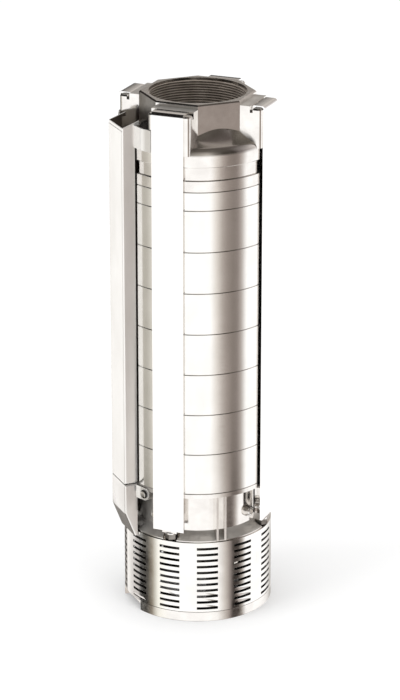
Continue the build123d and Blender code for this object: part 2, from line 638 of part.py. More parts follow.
def upper_seat_retainer():
    """Ring that clamps the seat under the shoulder of the casing."""
    return ring(SEAT_BORE - SEAT_FIT, SEAT_LIP_RADIUS + CUP_RIM, SEAT_Z + SEAT_THICKNESS, SHELF_Z)


def valve_cup():
    """Domed valve cup with its guide stem."""
    rim_in = RETAINER_BORE - CUP_SHELL / 2
    dome_radius = (rim_in ** 2 + CUP_RISE ** 2) / (2 * CUP_RISE)
    middle_z = CUP_Z + CUP_RISE - dome_radius + sqrt(dome_radius ** 2 - rim_in ** 2 / 4)
    under = ThreePointArc((rim_in, CUP_Z), (rim_in / 2, middle_z), (0, CUP_Z + CUP_RISE))
    over_start = (CUP_RADIUS, CUP_Z + CUP_RIM)
    over_middle = ((CUP_RADIUS + CUP_BOSS_RADIUS) / 2, CUP_Z + CUP_RIM + CUP_CROWN)
    over = ThreePointArc(over_start, over_middle, (CUP_BOSS_RADIUS, CUP_BOSS_Z))
    outline = Curve() + [
        under,
        Polyline((rim_in, CUP_Z), (CUP_RADIUS, CUP_Z), over_start),
        over,
        Polyline((CUP_BOSS_RADIUS, CUP_BOSS_Z), (STEM_RADIUS, CUP_BOSS_Z), (STEM_RADIUS, STEM_TOP_Z),
                 (0, STEM_TOP_Z), (0, CUP_Z + CUP_RISE)),
    ]
    return turned(outline)


def valve_guide():
    """Spider above the cup: ring under the thread, arms and the hub that guides the stem."""
    ring_foot = GUIDE_SHELF_Z - GUIDE_RING_HEIGHT
    hub_top = GUIDE_HUB_Z + GUIDE_HUB_HEIGHT
    hub_bore = STEM_RADIUS + RUNNING_FIT
    arm_reach = (GUIDE_RING_RADIUS + GUIDE_RING_BORE) / 2
    arm = front_block(GUIDE_HUB_RADIUS - OVERRUN, arm_reach, ARM_WIDTH, ring_foot - GUIDE_ARM_DROP,
                      GUIDE_SHELF_Z - GUIDE_ARM_INSET)
    body = Part() + [
        ring(GUIDE_RING_RADIUS, GUIDE_RING_BORE, ring_foot, GUIDE_SHELF_Z),
        ring(GUIDE_HUB_RADIUS, hub_bore, GUIDE_HUB_Z, hub_top),
    ]
    return body + around(arm, ARM_COUNT, RIB_ANGLE)


def valve_spring():
    """Light compression spring between the cup and the hub of the guide."""
    low = CUP_BOSS_Z + SPRING_WIRE
    height = GUIDE_HUB_Z - SPRING_WIRE - low
    path = Helix(height / SPRING_TURNS, height, SPRING_RADIUS)
    start = Plane(origin=path @ 0, z_dir=path % 0)
    return Pos(0, 0, low) * sweep(start * Circle(SPRING_WIRE), path)


def pump_shaft():
    """Plain shaft through all stages."""
    edge = SHAFT_EDGE
    return turned([
        (0, SHAFT_FOOT_Z), (SHAFT_RADIUS - edge, SHAFT_FOOT_Z), (SHAFT_RADIUS, SHAFT_FOOT_Z + edge),
        (SHAFT_RADIUS, SHAFT_TOP_Z - edge), (SHAFT_RADIUS - edge, SHAFT_TOP_Z), (0, SHAFT_TOP_Z),
    ])


def shaft_coupling():
    """Sleeve that joins the pump shaft to the splined motor shaft."""
    edge = COUPLING_EDGE
    top = COUPLING_FOOT_Z + COUPLING_HEIGHT
    sleeve = turned([
        (0, COUPLING_FOOT_Z), (COUPLING_RADIUS - edge, COUPLING_FOOT_Z),
        (COUPLING_RADIUS, COUPLING_FOOT_Z + edge), (COUPLING_RADIUS, top - edge),
        (COUPLING_RADIUS - edge, top), (0, top),
    ])
    sleeve -= disc(MOTOR_SHAFT_RADIUS, COUPLING_FOOT_Z, MOTOR_SHAFT_LENGTH)
    return sleeve - disc(SHAFT_RADIUS + SEAT_FIT, SHAFT_FOOT_Z, top)


def guard_channel(outline, inner_outline):
    """Sheet channel with rounded corners, from its outside and inside profiles in (radius, z)."""
    outside = front_plate(outline, GUARD_WIDTH)
    for side in (0, -1):
        flank = outside.faces().sort_by(Axis.X)[side]
        front_edges = [edge for edge in flank.edges() if edge.center().Y < -STRAP_OUTER - GUARD_SHEET]
        upright_edges = [edge for edge in front_edges if edge.length > GUARD_REACH]
        outside = fillet(upright_edges, GUARD_CORNER)
    return outside - front_plate(inner_outline, GUARD_WIDTH - 2 * GUARD_SHEET)


def side_reach(radius):
    """Distance from the shaft at which the guard's side walls meet a cylinder of that radius."""
    return sqrt(radius ** 2 - (GUARD_WIDTH / 2 - GUARD_SHEET) ** 2) + LAY_GAP


def guard_ear(side, side_in):
    """Folded ear from one wall of the guard round the shoulder, over the lug, to the strap's edge."""
    fold_turn = radians(-GUARD_ANGLE - EAR_FOLD_ANGLE)
    fold_out = STRAP_OUTER + LAY_GAP
    strap_turn = radians(-GUARD_ANGLE)
    end_across = STRAP_WIDTH / 2 + EAR_END_GAP
    end_out = STRAP_INNER + 2 * LAY_GAP + GUARD_SHEET / 2
    path = Polyline(
        (side * (GUARD_WIDTH - GUARD_SHEET) / 2, -side_in),
        (side * fold_out * sin(fold_turn), -fold_out * cos(fold_turn)),
        (
            side * (end_out * sin(strap_turn) - end_across * cos(strap_turn)),
            -end_out * cos(strap_turn) - end_across * sin(strap_turn),
        ),
    )
    return Pos(0, 0, EAR_Z) * extrude(trace(path, GUARD_SHEET), amount=EAR_HEIGHT)


def cable_guard():
    """Upper cable guard: open channel with sloping top and two folded ears."""
    side_in = side_reach(CHAMBER_RADIUS) + GUARD_FOOT_GAP
    low = CHAMBER_BASE_Z + SEAM_GAP / 2
    rim_out = GUARD_RADIUS - GUARD_RIM_STEP
    sheet_in = GUARD_RADIUS - GUARD_SHEET
    top_in = CHAMBER_RADIUS - GUARD_TOP_INSET
    front_z = NECK_TOP_Z - GUARD_TOP_DROP
    rear_z = front_z + GUARD_TOP_RISE
    outside = [
        (side_in, low), (GUARD_RADIUS, low), (GUARD_RADIUS, front_z - GUARD_RIM),
        (rim_out, front_z - GUARD_RIM), (rim_out, front_z), (top_in, rear_z),
        (top_in, EAR_Z + EAR_HEIGHT), (side_in, EAR_Z + EAR_HEIGHT),
    ]
    inside = [
        (0, low - OVERRUN), (sheet_in, low - OVERRUN), (sheet_in, rear_z + OVERRUN), (0, rear_z + OVERRUN),
    ]
    ears = [guard_ear(side, side_in) for side in (-1, 1)]
    return turn(guard_channel(outside, inside) + ears, GUARD_ANGLE)


def cable_guard_funnel():
    """Lower cable guard that tapers to the strainer, with two screwed tabs."""
    side_in = side_reach(STRAINER_RADIUS)
    foot_in = STRAINER_RADIUS + LAY_GAP
    top = CHAMBER_BASE_Z - SEAM_GAP / 2
    bend_z = STRAINER_TOP_Z + FUNNEL_BEND_RISE
    foot_z = STRAINER_TOP_Z - FUNNEL_FOOT_DROP
    slant = (GUARD_RADIUS - foot_in) / (bend_z - foot_z)
    foot_out = foot_in + GUARD_SHEET * sqrt(1 + slant ** 2)
    sheet_in = GUARD_RADIUS - GUARD_SHEET
    outside = [
        (side_in, top), (GUARD_RADIUS, top), (GUARD_RADIUS, bend_z), (foot_out, foot_z), (side_in, foot_z),
    ]
    inside = [
        (0, top + OVERRUN), (sheet_in, top + OVERRUN), (sheet_in, bend_z), (foot_in, foot_z),
        (foot_in, foot_z - OVERRUN), (0, foot_z - OVERRUN),
    ]
    body = guard_channel(outside, inside)
    wall_middle = (GUARD_WIDTH - GUARD_SHEET) / 2
    reach = STRAP_INNER * tan(radians(TAB_ANGLE)) - wall_middle / cos(radians(TAB_ANGLE))
    for side in (-1, 1):
        tab = front_block(STRAP_INNER, TAB_OUTER, reach, TAB_Z - TAB_RADIUS, TAB_Z + TAB_RADIUS)
        tab = Pos(-side * reach / 2, 0, 0) * tab
        tab += front_pin(TAB_RADIUS, GUARD_SHEET, STRAP_INNER, TAB_Z)
        tab -= front_pin(SCREW_RADIUS + SEAT_FIT, GUARD_SHEET, STRAP_INNER, TAB_Z)
        body += turn(tab, side * TAB_ANGLE)
    return turn(body, GUARD_ANGLE)


def stage_bases():
    """Placement of each stage, from the suction end up."""
    return [Pos(0, 0, CHAMBER_BASE_Z + stage * STAGE_PITCH) for stage in range(STAGES)]


def body_parts():
    """Everything that stands still."""
    parts = {
        "suction_interconnector": suction_interconnector(),
        "strainer": strainer(),
        "top_chamber": top_chamber(),
        "top_bearing": top_bearing(),
        "valve_casing": valve_casing(),
        "valve_guide": valve_guide(),
        "upper_seat_retainer": upper_seat_retainer(),
        "valve_seat": valve_seat(),
        "lower_seat_retainer": lower_seat_retainer(),
        "casing_o_ring": casing_o_ring(),
        "cable_guard": cable_guard(),
        "cable_guard_funnel": cable_guard_funnel(),
    }
    plug = pan_screw(PLUG_FACE, PLUG_Z)
    parts["bowl_plugs"] = Part() + around(plug, STRAP_COUNT, PLUG_ANGLE)
    guard_screw = pan_screw(TAB_OUTER, TAB_Z)
    parts["cable_guard_screws"] = Part() + [
        turn(guard_screw, GUARD_ANGLE + side * TAB_ANGLE) for side in (-1, 1)
    ]
    stage_casing = chamber()
    for number, base in enumerate(stage_bases(), start=1):
        parts[f"chamber_{number}"] = base * stage_casing
    parts["stage_bearings"] = Part() + [base * stage_bearing() for base in stage_bases()]
    parts["neck_rings"] = Part() + [base * neck_ring() for base in stage_bases()]
    band = strap()
    for side, angle in (("front", 0), ("right", 90), ("back", 180), ("left", 270)):
        parts[f"strap_{side}"] = turn(band, angle)
    parts["strap_studs"] = Part() + around(strap_stud(), STRAP_COUNT)
    parts["strap_washers"] = Part() + around(strap_washer(), STRAP_COUNT)
    parts["strap_nuts"] = Part() + around(strap_nut(), STRAP_COUNT)
    return parts


def rotor_parts():
    """Everything that turns with the shaft."""
    parts = {
        "pump_shaft": pump_shaft(),
        "shaft_coupling": shaft_coupling(),
    }
    wheel = impeller()
    for number, base in enumerate(stage_bases(), start=1):
        parts[f"impeller_{number}"] = base * wheel
    parts["split_cones"] = Part() + [base * split_cone() for base in stage_bases()]
    parts["cone_nuts"] = Part() + [base * cone_nut() for base in stage_bases()]
    return parts


def valve_parts():
    """Cup that lifts off its seat, and its spring."""
    return {"valve_cup": valve_cup(), "valve_spring": valve_spring()}


os.makedirs("parts", exist_ok=True)
for group in (body_parts(), rotor_parts(), valve_parts()):
    for node, shape in group.items():
        export_step(shape, f"parts/{node}.step")
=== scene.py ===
import json
import math

import bmesh
import bpy
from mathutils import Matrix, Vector


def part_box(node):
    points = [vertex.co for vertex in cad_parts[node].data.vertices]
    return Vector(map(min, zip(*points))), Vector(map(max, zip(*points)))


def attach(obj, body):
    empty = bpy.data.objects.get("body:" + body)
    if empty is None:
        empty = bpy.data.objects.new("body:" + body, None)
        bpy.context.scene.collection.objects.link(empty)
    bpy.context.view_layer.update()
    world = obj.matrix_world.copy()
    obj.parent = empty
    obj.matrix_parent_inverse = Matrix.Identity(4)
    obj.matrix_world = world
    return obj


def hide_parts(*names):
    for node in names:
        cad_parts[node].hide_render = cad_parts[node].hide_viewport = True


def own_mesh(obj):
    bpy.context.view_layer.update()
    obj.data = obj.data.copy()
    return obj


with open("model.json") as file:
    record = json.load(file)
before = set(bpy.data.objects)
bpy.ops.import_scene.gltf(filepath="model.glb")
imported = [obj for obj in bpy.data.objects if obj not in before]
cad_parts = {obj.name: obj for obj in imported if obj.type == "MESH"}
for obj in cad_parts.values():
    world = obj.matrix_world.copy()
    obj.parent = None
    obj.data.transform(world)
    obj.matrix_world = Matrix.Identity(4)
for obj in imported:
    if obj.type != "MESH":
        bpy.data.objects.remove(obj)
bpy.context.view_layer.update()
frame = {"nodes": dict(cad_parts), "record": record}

MM = 0.001
AXIS = Vector((0, 0, 1))
CENTRE = Vector((0, 0, 0))

# Where the photograph was taken from, and how its frame sits
IMAGE_HEIGHT = 700
IMAGE_CENTRE_X = 200.0
AXIS_PIXEL_X = 197.79
SENSOR = 36.0
FOCAL_PIXELS = 2951.0
CAMERA_ANGLE = 22.5
CAMERA_RISE = 20.02
CAMERA_DISTANCE = 2661 * MM
AIM_HEIGHT = 237.8 * MM
FARTHEST_SEEN = 50

# Studio, in metres, degrees and watts: each lamp's angle, rise, size and power
FLOOR_SIZE = 20.0
LAMP_DISTANCE = 2.2
LAMPS = {"key_lamp": (-40, 40, 1.2, 12), "fill_lamp": (60, 30, 1.0, 6)}

# Pipe thread in the neck
THREAD_PITCH = 2.309 * MM
THREAD_CREST = 42.46 * MM
THREAD_ROOT = 43.9 * MM
THREAD_STEPS = 144
THREAD_PROFILE = (
    (0.0, THREAD_CREST), (0.12, THREAD_CREST), (0.44, THREAD_ROOT), (0.56, THREAD_ROOT), (0.88, THREAD_CREST),
)
MOUTH_RADIUS = 43.46 * MM
THREAD_RUNOUT = 0.6 * MM
MOUTH_DEPTH = 2.4 * MM
CASING_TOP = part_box("valve_casing")[1].z
BORE_FLOOR = 449 * MM

# Between these heights, only the strap lugs of the casing have level tops
LUG_TOP = 470 * MM
NECK_TOP = 478 * MM

# Suction end: the bowl's bore and foot, the top of the flange, the strainer's bore and what it stands under
BOWL_BORE = 53.6 * MM
BOWL_FOOT = 78 * MM
FLANGE_TOP = 9.4 * MM
STRAINER_BORE = 66.2 * MM
SHOULDER_UNDER = 73.6 * MM

# The blasted shoulder between the bowl and the strainer
SHOULDER_BORE = 55.0 * MM
SHOULDER_FOOT = 76.0 * MM
SHOULDER_TOP = 87.0 * MM

# How far apart two corners of one mesh may be and still be one, and which edges count as sharp or flat
WELD = 0.002 * MM
SHARP = math.radians(28)
FLAT = math.radians(0.4)

SHELL_RADIUS = 66.75 * MM
STRAPS = ["strap_front", "strap_right", "strap_back", "strap_left"]

# Which way the cable guard looks, and the direction across it
GUARD_OUT = Vector((-1, -1, 0)).normalized()
GUARD_ACROSS = Vector((1, -1, 0)).normalized()
GUARD_HALF = 16.5 * MM
SEAM_TOP = 200 * MM
# How much of the way out from the shaft goes towards the guard, at the least, on the bowl wall behind it
BEHIND_GUARD = 0.79

# How much of a face's normal points one way, from a face that slants a little to one that looks fully there
SLANTS = 0.2
LEANS = 0.3
MOSTLY = 0.5
NEARLY = 0.9
LEVEL = 0.95
FULLY = 0.97

# Widths of the rounded edges, in millimetres
CASING_EDGE = 0.3
STRAP_EDGE = 0.35
GUARD_EDGE = 0.25
SCREW_EDGE = 0.2
STRAINER_EDGE = 0.12

# Between these values lies nearly all of a noise, and how strongly its relief shows
NOISE_LOW, NOISE_HIGH = 0.3, 0.7
RELIEF = 0.3


def srgb(code):
    """Linear colour from an sRGB hex value."""
    parts = [int(code[i:i + 2], 16) / 255 for i in (1, 3, 5)]
    return [c / 12.92 if c <= 0.04045 else ((c + 0.055) / 1.055) ** 2.4 for c in parts] + [1.0]


def per_metre(size_mm):
    """Scale of a pattern whose features are this many millimetres long."""
    return 1 / (size_mm * MM)


def add(tree, kind, sockets=(), **settings):
    """Adds a node with its settings, and fills its sockets from values or other sockets."""
    node = tree.nodes.new(kind)
    for key, value in settings.items():
        setattr(node, key, value)
    for key, value in dict(sockets).items():
        if isinstance(value, bpy.types.NodeSocket):
            tree.links.new(value, node.inputs[key])
        else:
            node.inputs[key].default_value = value
    return node


def finish(name, tones, metallic, roughness, grain_mm, depth_mm, cloud_mm, turned=False):
    """Material whose tone follows soft clouds, and whose roughness and relief follow a grain.

    tones are the darkest and the lightest colour, roughness its lowest and highest value;
    grain_mm is how long the grain's marks are along x, y and z, or round the shaft if turned.
    Real grinding, rolling and tool marks are too fine to show, so they are drawn coarser than they are,
    as far as the picture needs.
    """
    material = bpy.data.materials.new(name)
    material.use_nodes = True
    tree = material.node_tree
    tree.nodes.clear()
    where = add(tree, "ShaderNodeTexCoord").outputs["Object"]
    along = where
    if turned:
        place = add(tree, "ShaderNodeSeparateXYZ", {"Vector": where})
        turn = add(tree, "ShaderNodeMath", {0: place.outputs["X"], 1: place.outputs["Y"]}, operation="ARCTAN2")
        arc = add(tree, "ShaderNodeMath", {0: turn.outputs[0], 1: SHELL_RADIUS}, operation="MULTIPLY")
        along = add(tree, "ShaderNodeCombineXYZ", {"X": arc.outputs[0], "Z": place.outputs["Z"]}).outputs[0]
    grain_place = add(tree, "ShaderNodeMapping", {"Vector": along, "Scale": [per_metre(x) for x in grain_mm]})
    grain = add(tree, "ShaderNodeTexNoise", {"Vector": grain_place.outputs[0], "Scale": 1.0, "Detail": 3.0})
    cloud_place = add(tree, "ShaderNodeMapping", {"Vector": where, "Scale": [per_metre(x) for x in cloud_mm]})
    cloud = add(tree, "ShaderNodeTexNoise", {"Vector": cloud_place.outputs[0], "Scale": 1.0, "Detail": 2.0})
    share = add(tree, "ShaderNodeMapRange", {"Value": cloud.outputs["Fac"], "From Min": NOISE_LOW,
                                             "From Max": NOISE_HIGH})
    tone = add(tree, "ShaderNodeMix", {0: share.outputs[0], 6: srgb(tones[0]), 7: srgb(tones[1])}, data_type="RGBA")
    rough = add(tree, "ShaderNodeMapRange", {"Value": grain.outputs["Fac"], "From Min": NOISE_LOW,
                                             "From Max": NOISE_HIGH, "To Min": roughness[0],
                                             "To Max": roughness[1]})
    bump = add(tree, "ShaderNodeBump", {"Height": grain.outputs["Fac"], "Distance": depth_mm * MM,
                                        "Strength": RELIEF})
    shader = add(tree, "ShaderNodeBsdfPrincipled", {
        "Base Color": tone.outputs[2], "Metallic": metallic, "Roughness": rough.outputs[0],
        "Normal": bump.outputs["Normal"],
    })
    add(tree, "ShaderNodeOutputMaterial", {"Surface": shader.outputs["BSDF"]})
    return material


# Deep-drawn stainless sleeves, satin ground: soft reflections with faint lines round the shaft
CHAMBER = finish("satin_chamber_steel", ("#E9E7E3", "#F2F0ED"), 1.0, (0.1, 0.17), (12, 1, 0.5), 0.004, (18, 18, 30),
                 turned=True)
# Rolled stainless sheet, bright: clear reflections, faintly uneven where it was punched
STRAINER = finish("bright_strainer_steel", ("#E8E6E2", "#F2F0ED"), 1.0, (0.08, 0.14), (14, 14, 9), 0.03, (20, 20, 20))
# Folded and pickled stainless sheet: paler and softer than the straps, with mill grain along the folds
GUARD = finish("pickled_guard_steel", ("#E9E6E2", "#F4F2EF"), 0.65, (0.09, 0.15), (0.5, 0.5, 25), 0.004, (25, 25, 60))
# Painted shade: the same sheet drawn dull brown, nearly black, on the inner faces of the guard and its funnel and on
# the sheet ends at the seam between them
SCALE = finish("guard_painted_shade", ("#4E463F", "#6A6057"), 0.6, (0.4, 0.52), (0.5, 0.5, 25), 0.006, (12, 12, 30))
# Bright annealed stainless strip: almost white, with faint rolling lines along it
STRAP = finish("bright_strap_steel", ("#F4F2F0", "#FAF9F8"), 1.0, (0.08, 0.14), (0.6, 0.6, 40), 0.003, (15, 15, 80))
# Investment-cast stainless, polished outside: bright and slightly wavy
CAST = finish("polished_cast_steel", ("#E2DEDA", "#EFECE8"), 1.0, (0.1, 0.18), (5, 5, 5), 0.06, (14, 14, 14))
# Painted shade: dark grey and dull steel, drawn on the casting's inside behind the strainer, which is also left as it
# came from the mould, on the strainer's inner faces and on the sides of the guard screws' heads
AS_CAST = finish("painted_shade_steel", ("#2A2826", "#3C3936"), 0.6, (0.55, 0.7), (0.8, 0.8, 0.8), 0.05, (9, 9, 9))
# The casting's shoulder and lug tops, blasted and not polished: grey, with reflections smeared to a sheen; on the
# bowl wall behind the guard the same grey is a painted sheen, lit where the polished casting would mirror the dark
# guard
BLASTED = finish("blasted_cast_steel", ("#B8B3AD", "#CCC8C2"), 0.65, (0.28, 0.4), (1.2, 1.2, 1.2), 0.04, (12, 12, 12))
# Flanks of the cut thread: grey-brown and torn, a matt surface that catches light from above
THREAD = finish("cut_thread_steel", ("#94897F", "#AFA499"), 0.3, (0.3, 0.42), (6, 6, 0.4), 0.02, (10, 10, 10))
# Painted shade on the crests and roots between the flanks and on the rest of the bore: dark brown lines
OILED = finish("thread_painted_shade", ("#3A322C", "#4C433B"), 0.3, (0.3, 0.42), (6, 6, 0.4), 0.02, (10, 10, 10))
# Stainless turned on a lathe: grey, with tool marks round the shaft
MACHINED = finish("turned_steel", ("#BEB9B3", "#D2CEC9"), 1.0, (0.22, 0.34), (10, 1, 0.3), 0.01, (8, 8, 8),
                  turned=True)
# Cold-headed stainless: bright, with small dull spots from the die
FASTENER = finish("cold_headed_steel", ("#DCD8D4", "#EFEDEA"), 1.0, (0.12, 0.22), (1.5, 1.5, 1.5), 0.02, (3, 3, 3))
# Milled coupling, cones and strap nuts: dull dark grey that hardly mirrors; the same grey is painted shade on the
# neck facet that faces the guard and on the underside of the guard's funnel
DULL = finish("dull_milled_steel_and_painted_shade", ("#8B8680", "#A09B95"), 1.0, (0.36, 0.5), (1.5, 1.5, 0.6), 0.02, (6, 6, 6))
# Centreless-ground stainless bar: grey mirror with fine rings
SHAFT = finish("ground_shaft_steel", ("#CBC8C5", "#DCDAD8"), 1.0, (0.1, 0.18), (60, 60, 0.4), 0.004, (10, 10, 30))
# Pressed and welded stainless sheet: satin, slightly rippled
IMPELLER = finish("pressed_impeller_steel", ("#C7C2BC", "#DBD8D4"), 1.0, (0.2, 0.3), (6, 6, 6), 0.05, (12, 12, 12))
# Drawn stainless wire: dull grey with die lines
WIRE = finish("drawn_spring_wire", ("#B5B1AC", "#CECBC8"), 1.0, (0.24, 0.36), (0.3, 0.3, 0.3), 0.005, (4, 4, 4))
# Moulded nitrile rubber: black and dull, with a fine mould grain
RUBBER = finish("nitrile_rubber", ("#1D1D20", "#2C2C30"), 0.0, (0.52, 0.68), (0.8, 0.8, 0.8), 0.03, (5, 5, 5))
# Moulded wear ring of filled polymer: charcoal with paler filler
POLYMER = finish("filled_wear_polymer", ("#313133", "#47474A"), 0.0, (0.38, 0.52), (0.6, 0.6, 0.6), 0.02, (1, 1, 1))

GROUPS = {
    "cast": (CAST, ["valve_casing", "suction_interconnector"]),
    "guard": (GUARD, ["cable_guard", "cable_guard_funnel"]),
    "fastener": (FASTENER, ["strap_studs", "strap_washers", "bowl_plugs", "cable_guard_screws", "cone_nuts"]),
    "dull": (DULL, ["strap_nuts", "shaft_coupling", "split_cones"]),
    "machined": (MACHINED, ["valve_guide", "valve_cup", "upper_seat_retainer", "lower_seat_retainer"]),
    "shaft": (SHAFT, ["pump_shaft"]),
    "rubber": (RUBBER, ["stage_bearings", "top_bearing", "valve_seat", "casing_o_ring"]),
    "strainer": (STRAINER, ["strainer"]),
    "polymer": (POLYMER, ["neck_rings"]),
    "wire": (WIRE, ["valve_spring"]),
    "chamber": (CHAMBER, [name for name in frame["nodes"] if "chamber" in name]),
    "impeller": (IMPELLER, [name for name in frame["nodes"] if name.startswith("impeller_")]),
    "strap": (STRAP, [name for name in frame["nodes"] if name in STRAPS]),
}


def node_finishes():
    """Finish of every CAD node, by name."""
    return {name: material for material, names in GROUPS.values() for name in names}


def node_slots():
    """Material slot and body of every CAD node, as the record says."""
    record = frame["record"]
    slots = {part["node"]: part["material_slot"] for part in record["subparts"]}
    bodies = {node: body for body, nodes in record["behaviour"]["bodies"].items() for node in nodes}
    return slots, bodies


def welded_copy(node):
    """bmesh of a CAD node's mesh with its loose triangles joined."""
    mesh = bmesh.new()
    mesh.from_mesh(frame["nodes"][node].data)
    bmesh.ops.remove_doubles(mesh, verts=mesh.verts, dist=WELD)
    bmesh.ops.dissolve_degenerate(mesh, edges=mesh.edges, dist=WELD)
    bmesh.ops.dissolve_limit(mesh, angle_limit=FLAT, verts=mesh.verts, edges=mesh.edges)
    return mesh


def shade(piece):
    """Smooth shading that keeps edges sharper than SHARP."""
    mesh = piece.data
    mesh.shade_smooth()
    mesh.set_sharp_from_angle(angle=SHARP)


def everywhere(edge):
    """Picks every edge."""
    return True


def stand_for(mesh, name, node, edge_mm, picked=everywhere, zones=()):
    """Object from a bmesh that takes a CAD node's place, its body and its finish.

    Its picked sharp edges are rounded. zones are pairs of a finish and the test of the faces that have it.
    """
    weight = mesh.edges.layers.float.new("bevel_weight_edge")
    for edge in mesh.edges:
        if len(edge.link_faces) == 2 and edge.calc_face_angle() > SHARP and picked(edge):
            edge[weight] = 1.0
    for face in mesh.faces:
        face.material_index = 0
        for place, (material, has_it) in enumerate(zones, 1):
            if has_it(face):
                face.material_index = place
    data = bpy.data.meshes.new(name)
    mesh.to_mesh(data)
    mesh.free()
    old_normals = data.attributes.get("custom_normal")
    if old_normals:
        data.attributes.remove(old_normals)
    piece = bpy.data.objects.new(name, data)
    bpy.context.collection.objects.link(piece)
    shade(piece)
    if edge_mm:
        bevel = piece.modifiers.new("rounded_edges", "BEVEL")
        bevel.width = edge_mm * MM
        bevel.segments = 2
        bevel.limit_method = "WEIGHT"
        bevel.harden_normals = True
    piece.data.materials.append(FINISHES[node])
    for material, has_it in zones:
        piece.data.materials.append(material)
    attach(piece, BODIES[node])
    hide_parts(node)
    return piece


def rounded(node, edge_mm, picked=everywhere, zones=()):
    """CAD node with its sharp edges rounded."""
    return stand_for(welded_copy(node), node + "_finished", node, edge_mm, picked, zones)


def radius(point):
    """Distance of a point from the shaft's axis."""
    return math.hypot(point.x, point.y)


def open_edges(mesh, low, high):
    """Edges with one face between two heights."""
    edges = [edge for edge in mesh.edges if len(edge.link_faces) == 1]
    return [edge for edge in edges if all(low < vert.co.z < high for vert in edge.verts)]


def thread_form(mesh, low, high):
    """Adds the helical ridges of the pipe thread between two heights, cut off level there; returns their faces."""
    turns = math.ceil((high - low) / THREAD_PITCH) + 2
    profile = []
    for turn in range(turns):
        foot = low + (turn - 1.5) * THREAD_PITCH
        for share, distance in THREAD_PROFILE:
            profile.append(mesh.verts.new((distance, 0, foot + share * THREAD_PITCH)))
    edges = [mesh.edges.new(pair) for pair in zip(profile, profile[1:])]
    step = Vector((0, 0, THREAD_PITCH / THREAD_STEPS))
    before = set(mesh.faces)
    bmesh.ops.spin(mesh, geom=profile + edges, cent=CENTRE, axis=AXIS, dvec=step,
                   angle=2 * math.pi, steps=THREAD_STEPS, use_duplicate=False)
    made = [face for face in mesh.faces if face not in before]
    for height, outward in ((low, -1), (high, 1)):
        geometry = made + list({e for f in made for e in f.edges}) + list({v for f in made for v in f.verts})
        bmesh.ops.bisect_plane(mesh, geom=geometry, plane_co=(0, 0, height), plane_no=(0, 0, outward),
                               clear_outer=True, dist=WELD / 10)
        made = [face for face in mesh.faces if face not in before]
    return made


def threaded_casing():
    """Discharge casing with its pipe thread in place of the plain bore."""
    low, high = (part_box("valve_casing")[i].z for i in (0, 1))
    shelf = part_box("valve_guide")[1].z
    mesh = welded_copy("valve_casing")
    wall = [
        face for face in mesh.faces
        if radius(face.calc_center_median()) < MOUTH_RADIUS - WELD
        and all(radius(vert.co) < MOUTH_RADIUS + WELD for vert in face.verts)
        and face.calc_center_median().z > shelf + WELD
    ]
    bmesh.ops.delete(mesh, geom=wall, context="FACES")
    thread_form(mesh, shelf + THREAD_RUNOUT, high - MOUTH_DEPTH)
    bmesh.ops.remove_doubles(mesh, verts=mesh.verts, dist=WELD)
    middle = (shelf + high) / 2
    for low_z, high_z in ((shelf - MM, middle), (middle, high + MM)):
        bmesh.ops.bridge_loops(mesh, edges=open_edges(mesh, low_z, high_z))
    bmesh.ops.recalc_face_normals(mesh, faces=mesh.faces)
    # Painted shade: the thread's crests and roots and the rest of the bore are drawn dark brown
    zones = ((OILED, in_the_bore), (THREAD, on_a_flank), (CAST, in_the_mouth), (BLASTED, on_a_lug),
             # Painted shade: the neck facet that faces the guard is drawn dull grey
             (DULL, facing_the_guard))
    return stand_for(mesh, "threaded_casing", "valve_casing", CASING_EDGE, out_of_the_bore, zones)


def out_of_the_bore(edge):
    """Picks edges of the casing's outside."""
    return all(radius(vert.co) > THREAD_ROOT + WELD for vert in edge.verts)


def in_the_bore(face):
    """Whether a face of the casing belongs to the thread or its runouts."""
    middle = face.calc_center_median()
    return radius(middle) < THREAD_ROOT + WELD and abs(face.normal.z) < NEARLY and middle.z > BORE_FLOOR


def on_a_flank(face):
    """Whether a face of the casing is a flank of the thread."""
    return in_the_bore(face) and abs(face.normal.z) > MOSTLY


def in_the_mouth(face):
    """Whether a face of the casing belongs to the plain mouth above the thread."""
    return in_the_bore(face) and face.calc_center_median().z > CASING_TOP - MOUTH_DEPTH


def facing_the_guard(face):
    """Whether a face of the casing's neck looks at the cable guard."""
    return face.normal.dot(GUARD_OUT) > FULLY and face.calc_center_median().z > BORE_FLOOR


def on_a_lug(face):
    """Whether a face of the casing is the flat top of a strap lug."""
    return face.normal.z > FULLY and LUG_TOP < face.calc_center_median().z < NECK_TOP


def in_the_strainer(face):
    """Whether a face of the interconnector is hidden behind the strainer."""
    middle = face.calc_center_median()
    return radius(middle) < BOWL_BORE and WELD < middle.z < BOWL_FOOT or (
        FLANGE_TOP + WELD < middle.z < SHOULDER_UNDER and radius(middle) < STRAINER_BORE)


def in_the_bowl(face):
    """Whether a face of the interconnector lines the bowl above the strainer."""
    middle = face.calc_center_median()
    return radius(middle) < BOWL_BORE and middle.z > BOWL_FOOT


def on_the_shoulder(face):
    """Whether a face of the interconnector belongs to the sloping shoulder round the bowl's foot."""
    middle = face.calc_center_median()
    return SHOULDER_FOOT < middle.z < SHOULDER_TOP and SHOULDER_BORE < radius(middle) and face.normal.z > LEANS


def behind_the_guard(face):
    """Whether a face of the interconnector is bowl wall between the two straps beside the guard."""
    middle = face.calc_center_median()
    behind = middle.dot(GUARD_OUT) > BEHIND_GUARD * radius(middle)
    return behind and middle.z > SHOULDER_TOP and radius(middle) > BOWL_BORE


def in_the_channel(face):
    """Whether a face of the cable guard looks inwards, at the chambers or at the other wall."""
    to_wall = face.calc_center_median().dot(GUARD_ACROSS)
    across = face.normal.dot(GUARD_ACROSS)
    inwards = face.normal.dot(GUARD_OUT) < -LEANS or abs(across) > LEANS and across * to_wall < 0
    return inwards and abs(to_wall) < GUARD_HALF + WELD


